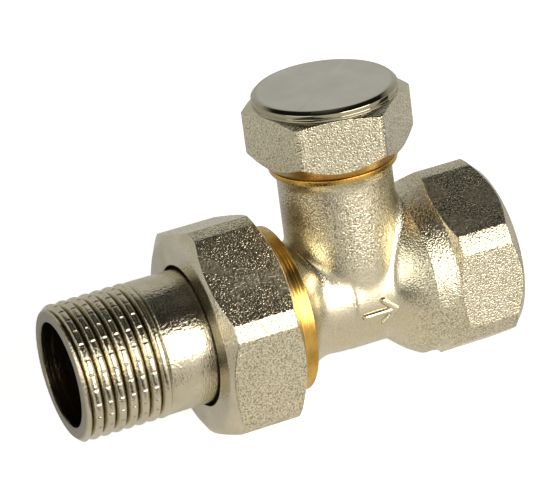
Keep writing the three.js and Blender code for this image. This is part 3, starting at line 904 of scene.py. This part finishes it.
def protective_cap():
    """The hexagonal screw cap, threaded inside, with a grooved collar and a polished disc on top."""
    angles = hexagon_angles(CAP_TURN, CAP_FLATS, CAP_CORNER)
    across = hexagon_radius(angles, CAP_TURN, CAP_FLATS, CAP_CORNER)
    lower_slope, upper_slope = 0.952, 0.358
    below = CAP_BOTTOM + (across - CAP_RIM) * lower_slope
    above = CAP_SHOULDER - (across - CAP_FLATS) * upper_slope
    return settle(turned("hexagon_cap", [
        point(0, CAP_CEILING, 0, BRASS),
        point(CAP_RELIEF, CAP_CEILING, 0.2, BRASS),
        point(CAP_RELIEF, CAP_RELIEF_BOTTOM, 0.1, BRASS),
        *thread(angles, CAP_RELIEF_BOTTOM - 0.2, CAP_BOTTOM + 1.0, CAP_PITCH, CAP_THREAD_CREST,
                CAP_THREAD_ROOT, BRASS),
        point(9.35, CAP_BOTTOM + 0.8, 0.05, BRASS),
        point(9.45, CAP_BOTTOM, 0.05, BRASS),
        point(CAP_RIM, CAP_BOTTOM, 0.12, BRASS),
        point(across, below, 0.12, FORGED),
        point(across, above, 0.10, TURNED),
        point(CAP_FLATS - 0.04, CAP_SHOULDER + 0.02, 0.05, TURNED),
        point(CAP_DISC, CAP_SHOULDER + 0.06, 0.05, POLISHED),
        *machined_lines(31.75, 32.05, CAP_DISC, 1, 0.05, 0.10, POLISHED),
        point(CAP_DISC, CAP_TOP - 0.52, 0.08, POLISHED),
        point(CAP_DISC - 0.55, CAP_TOP, 0.10, POLISHED),
        point(0, CAP_TOP, 0, POLISHED),
    ], angles, "z"), "cap", "blasted_nickel", ABOUT_Z, "protective_cap")


# ---- What the cap and the body hide ----

def bonnet():
    """The screwed bonnet: a male thread, a flange over its ring, a hexagon head and the spindle's bore."""
    turn = 30
    angles = hexagon_angles(turn, BONNET_FLATS, BONNET_CORNER)
    across = hexagon_radius(angles, turn, BONNET_FLATS, BONNET_CORNER)
    bottom, top = low("bonnet", "z"), high("bonnet", "z")
    return settle(turned("screwed_bonnet", [
        point(BONNET_BORE, bottom, 0.2, BRASS),
        point(6.7, bottom, 0.2, BRASS),
        point(6.7, 15.3, 0.05, BRASS),
        *thread(angles, 15.4, NECK_TOP - 1.6, BONNET_PITCH, BONNET_ROOT, BONNET_CREST, BRASS),
        point(BONNET_ROOT, NECK_TOP - 1.4, 0.05, BRASS),
        point(7.1, NECK_TOP - 0.8, 0.05, BRASS),
        point(7.1, NECK_TOP + 0.35, 0.05, BRASS),
        point(BONNET_FLANGE, NECK_TOP + 0.35, 0.15, BRASS),
        point(BONNET_FLANGE, FLANGE_TOP, 0.15, BRASS),
        point(across, FLANGE_TOP, 0.05, BRASS),
        point(across, top - 0.3 - (across - BONNET_FLATS) * 0.4, 0.1, BRASS),
        point(6.6, top, 0.1, BRASS),
        point(5.3, top, 0.1, BRASS),
        point(GLAND_BORE, top - 0.4, 0.1, BRASS),
        point(GLAND_BORE, BONNET_SHOULDER, 0.1, BRASS),
        point(BONNET_BORE, BONNET_SHOULDER, 0.1, BRASS),
    ], angles, "z"), "valve_body", "bare_brass", ABOUT_Z, "bonnet")


def spindle():
    """The spindle: a foot that holds the plug, a thread, two ring grooves and a hexagon socket on top."""
    angles = turns(96)
    bottom, top = low("spindle", "z"), high("spindle", "z")

    def groove(middle):
        corners = ((STEM_RADIUS, -0.7), (STEM_GROOVE, -0.7), (STEM_GROOVE, 0.7), (STEM_RADIUS, 0.7))
        return [point(radius, middle + away, 0.12, BRASS) for radius, away in corners]

    shaft = turned("spindle_stem", [
        point(0, bottom, 0, BRASS),
        point(FOOT_RADIUS, bottom, 0.2, BRASS),
        point(FOOT_RADIUS, 9.3, 0.15, BRASS),
        point(FOOT_NECK, 9.3, 0.15, BRASS),
        point(FOOT_NECK, 10.5, 0.15, BRASS),
        point(5.2, 10.5, 0.15, BRASS),
        *thread(angles, 10.6, 14.9, BONNET_PITCH, STEM_ROOT, STEM_CREST, BRASS),
        point(STEM_ROOT, 15.2, 0.15, BRASS),
        point(STEM_RADIUS, 15.2, 0.1, BRASS),
        *groove(LOWER_RING),
        *groove(UPPER_RING),
        point(STEM_RADIUS, top - 0.4, 0.1, BRASS),
        point(4.2, top, 0.1, BRASS),
        point(0, top, 0, BRASS),
    ], angles, "z")
    key_angles = hexagon_angles(0, KEY_FLATS, KEY_CORNER)
    across = hexagon_radius(key_angles, 0, KEY_FLATS, KEY_CORNER)
    key = turned("key", [
        point(0, KEY_BOTTOM - 1.2, 0, BRASS),
        point(across, KEY_BOTTOM, 0, BRASS),
        point(across, top + 1, 0, BRASS),
        point(0, top + 1, 0, BRASS),
    ], key_angles, "z")
    give(shaft, ABOUT_Z)
    return settle(combine(shaft, key, "DIFFERENCE"), "stem", "bare_brass", ABOUT_Z, "spindle")


def plug():
    """The brass disc that closes the seat, crimped over the spindle's foot."""
    return settle(turned("seat_plug", [
        point(1.5, 5.0, 0.1, BRASS),
        point(1.8, 5.0, 0.1, BRASS),
        point(1.8, 6.9, 0.1, BRASS),
        point(PLUG_RADIUS, 6.9, 0.15, BRASS),
        point(PLUG_RADIUS, 9.5, 0.3, BRASS),
        point(5.2, 10.1, 0.3, BRASS),
        point(2.5, 10.1, 0.2, BRASS),
        point(2.5, 9.6, 0.1, BRASS),
        point(3.5, 9.6, 0.1, BRASS),
        point(3.5, 8.0, 0.1, BRASS),
        point(1.5, 8.0, 0.1, BRASS),
    ], turns(72), "z"), "plug", "bare_brass", ABOUT_Z, "plug_disc")


def washer(name, radius, bore, bottom, top, slot, material, node):
    """A flat ring under the plug, with soft edges."""
    soft = 0.25 * (top - bottom)
    corners = ((bore, bottom), (radius, bottom), (radius, top), (bore, top))
    outline = [point(r, z, soft) for r, z in corners]
    return settle(turned(name, outline, turns(72), "z"), "plug", slot, [material], node)


def seal_screw():
    """The slotted screw that holds the seal to the plug."""
    head = turned("slotted_screw", [
        point(0, SCREW_BOTTOM),
        point(2.0, SCREW_BOTTOM, 0.3),
        point(2.5, 3.2, 0.3),
        point(2.5, 4.0, 0.1),
        point(1.2, 4.0, 0.1),
        point(1.2, 7.1, 0.1),
        point(1.0, 7.3, 0.1),
        point(0, 7.3),
    ], turns(60), "z")
    square = turns(4) + math.pi / 4
    slot = turned("slot", [point(0, -3.5), point(0.35, -3.5), point(0.35, 3.5), point(0, 3.5)], square)
    slot.data.transform(Matrix.Translation((0, 0, SCREW_BOTTOM * MM)))
    give(head, [STEEL])
    return settle(combine(head, slot, "DIFFERENCE"), "plug", "stainless_steel", [STEEL], "seal_screw")


def o_ring(name, radius, cord, middle, axis, body_name, node):
    """A moulded ring of round section."""
    around = np.linspace(0, 2 * math.pi, 24, endpoint=False)
    outline = [point(radius + cord * math.cos(a), middle + cord * math.sin(a)) for a in around]
    return settle(turned(name, outline, turns(96), axis), body_name, "rubber", [RUBBER], node)


def cap_liner():
    """The pressed fibre disc inside the cap, which seals on the bonnet."""
    bottom, top = low("cap_liner", "z"), high("cap_liner", "z")
    return settle(turned("fibre_liner", [
        point(0, bottom),
        point(8.4, bottom, 0.2),
        point(8.4, top, 0.2),
        point(0, top),
    ], turns(96), "z"), "cap_travel_carrier", "fibre", [FIBRE], "cap_liner")


RUBBER, FIBRE, STEEL = rubber(), pressed_fibre(), stainless_steel()

body()
union_nut()
tailpiece()
protective_cap()
bonnet()
spindle()
plug()
washer("disc_seal", SEAT_RIM, 2.1, 4.9, 6.6, "rubber", RUBBER, "plug_seal")
washer("steel_washer", 3.2, 1.5, 4.3, 4.6, "stainless_steel", STEEL, "seal_washer")
seal_screw()
o_ring("nose_ring", 10.3, 0.6, NOSE_RING, "x", "union_travel_carrier", "tail_o_ring")
o_ring("bonnet_ring", 7.65, 0.38, NECK_TOP - 0.16, "z", "valve_body", "bonnet_o_ring")
o_ring("lower_stem_ring", 4.3, 0.5, LOWER_RING, "z", "stem", "spindle_o_ring_lower")
o_ring("upper_stem_ring", 4.3, 0.5, UPPER_RING, "z", "stem", "spindle_o_ring_upper")
cap_liner()

# ---- The camera, the floor and the light ----
FOCUS = Vector((SPINDLE_AXIS, 0, 0))
CAMERA_AZIMUTH, CAMERA_ELEVATION, CAMERA_ROLL = -21.331, 23.916, 7.610  # degrees
CAMERA_BACK, CAMERA_LEFT, CAMERA_UP = 453.79, 10.37, 5.36  # millimetres from the focus
CAMERA_LENS, CAMERA_FILM = 192.72, 36  # millimetres
LIGHT_HEIGHT = 0.005  # the lights face a place this far above the focus, in metres
WARM, WHITE = (1.0, 0.94, 0.91), (1.0, 1.0, 1.0)
FLOOR_GLOW, FLOOR_GLOW_SEEN = 0.22, 0.55  # for every ray, and what the camera sees on top of it
FLOOR_GAP = 0.0002
# Each dark card: where its middle is from the spindle's axis, and its size along X and Y, in metres.
DARK_CARDS = {
    "card_left": ((-0.088, -0.08), (0.105, 0.10)),
    # Painted shadow: this card stands for the shade on the floor under the tail, seen only in reflections.
    "tail_shadow_card": ((-0.047, -0.034), (0.04, 0.018)),
    "card_right": ((0.19, -0.035), (0.26, 0.06)),
}
# How bright the surroundings are by the height of the direction: 0 is the horizon and below, 1 is overhead.
SKY = ((0.0, 0.62), (0.45, 0.55), (0.63, 0.012), (0.92, 0.012), (0.96, 0.09), (1.0, 0.15))


def direction(azimuth, elevation):
    """The way from the valve at these angles in degrees; azimuth 0 is in front of it and 90 on its right."""
    a, e = math.radians(azimuth), math.radians(elevation)
    return Vector((math.sin(a) * math.cos(e), -math.cos(a) * math.cos(e), math.sin(e)))


def add_camera():
    """Looks down on the valve from the front and a little to the left, with the camera rolled."""
    back = direction(CAMERA_AZIMUTH, CAMERA_ELEVATION)
    right = (-back).cross(Vector((0, 0, 1))).normalized()
    up = right.cross(-back)
    roll = math.radians(CAMERA_ROLL)
    rolled_right = right * math.cos(roll) - up * math.sin(roll)
    rolled_up = right * math.sin(roll) + up * math.cos(roll)
    camera = bpy.data.objects.new("camera", bpy.data.cameras.new("camera"))
    camera.data.lens = CAMERA_LENS
    camera.data.sensor_width = CAMERA_FILM
    camera.data.clip_end = 20
    place = FOCUS + (back * CAMERA_BACK - rolled_right * CAMERA_LEFT + rolled_up * CAMERA_UP) * MM
    turn = Matrix((rolled_right, rolled_up, back)).transposed().to_4x4()
    camera.matrix_world = Matrix.Translation(place) @ turn
    bpy.context.scene.collection.objects.link(camera)
    bpy.context.scene.camera = camera


def add_sheet(name, material, centre, size, height):
    """A flat sheet on the floor that isn't part of the valve."""
    x, y = centre
    w, d = size[0] / 2, size[1] / 2
    mesh = bpy.data.meshes.new(name)
    corners = [(x - w, y - d, height), (x + w, y - d, height), (x + w, y + d, height), (x - w, y + d, height)]
    mesh.from_pydata(corners, [], [(0, 1, 2, 3)])
    mesh.materials.append(material)
    sheet = bpy.data.objects.new(name, mesh)
    bpy.context.scene.collection.objects.link(sheet)
    return sheet


def add_floor():
    """A plain pale floor just under the valve, lit from below like a light table."""
    finish = Finish("floor")
    finish.feed("Base Color", finish.ramp(finish.noise(0.03), [(0.3, 0.78), (0.7, 0.82)]))
    finish.feed("Roughness", 0.7)
    seen = finish.node("ShaderNodeLightPath").outputs["Is Camera Ray"]
    finish.feed("Emission Color", (1, 1, 1, 1))
    finish.feed("Emission Strength", finish.maths("MULTIPLY_ADD", seen, FLOOR_GLOW_SEEN, FLOOR_GLOW))
    add_sheet("floor", finish.material, (SPINDLE_AXIS, 0), (8, 8), CAD_BOUNDS[0][2] - FLOOR_GAP)


def add_dark_cards():
    """Dark cards on the floor round the valve, which only its reflections show: painted dark reflections, the
    one under the tail standing in for the shadow on the floor there.
    """
    finish = Finish("dark_card")
    finish.feed("Base Color", finish.ramp(finish.noise(0.02), [(0.3, 0.02), (0.7, 0.03)]))
    finish.feed("Roughness", 0.8)
    for name, (middle, size) in DARK_CARDS.items():
        card = add_sheet(name, finish.material, (SPINDLE_AXIS + middle[0], middle[1]), size, CAD_BOUNDS[0][2])
        card.visible_camera = False
        card.visible_shadow = False
        card.visible_diffuse = False


def add_light(name, azimuth, elevation, distance, size, strength, colour):
    """A soft rectangular light that faces the valve."""
    away = direction(azimuth, elevation)
    light = bpy.data.lights.new(name, "AREA")
    light.shape = "RECTANGLE"
    light.size, light.size_y = size
    light.energy = strength
    light.color = colour
    made = bpy.data.objects.new(name, light)
    made.location = FOCUS + Vector((0, 0, LIGHT_HEIGHT)) + away * distance
    made.rotation_euler = away.to_track_quat("Z", "Y").to_euler()
    bpy.context.scene.collection.objects.link(made)


def add_world():
    """Soft grey surroundings, dark overhead but for a dim patch at the top."""
    world = bpy.data.worlds.new("world")
    bpy.context.scene.world = world
    world.use_nodes = True
    nodes, links = world.node_tree.nodes, world.node_tree.links
    split = nodes.new("ShaderNodeSeparateXYZ")
    links.new(nodes.new("ShaderNodeTexCoord").outputs["Generated"], split.inputs[0])
    made = nodes.new("ShaderNodeValToRGB")
    fill_ramp(made.color_ramp, [(height, (grey, grey, 0.97 * grey)) for height, grey in SKY])
    links.new(split.outputs["Z"], made.inputs["Fac"])
    links.new(made.outputs["Color"], nodes["Background"].inputs["Color"])


add_camera()
add_floor()
add_dark_cards()
add_light("key", azimuth=22, elevation=17, distance=1.0, size=(0.8, 0.6), strength=10.5, colour=WARM)
add_light("left", azimuth=-66, elevation=14, distance=1.2, size=(0.9, 0.5), strength=3.0, colour=WHITE)
add_light("back", azimuth=170, elevation=45, distance=1.3, size=(1.4, 0.5), strength=1.3, colour=WHITE)
add_world()
bpy.context.scene.view_settings.view_transform = "Standard"
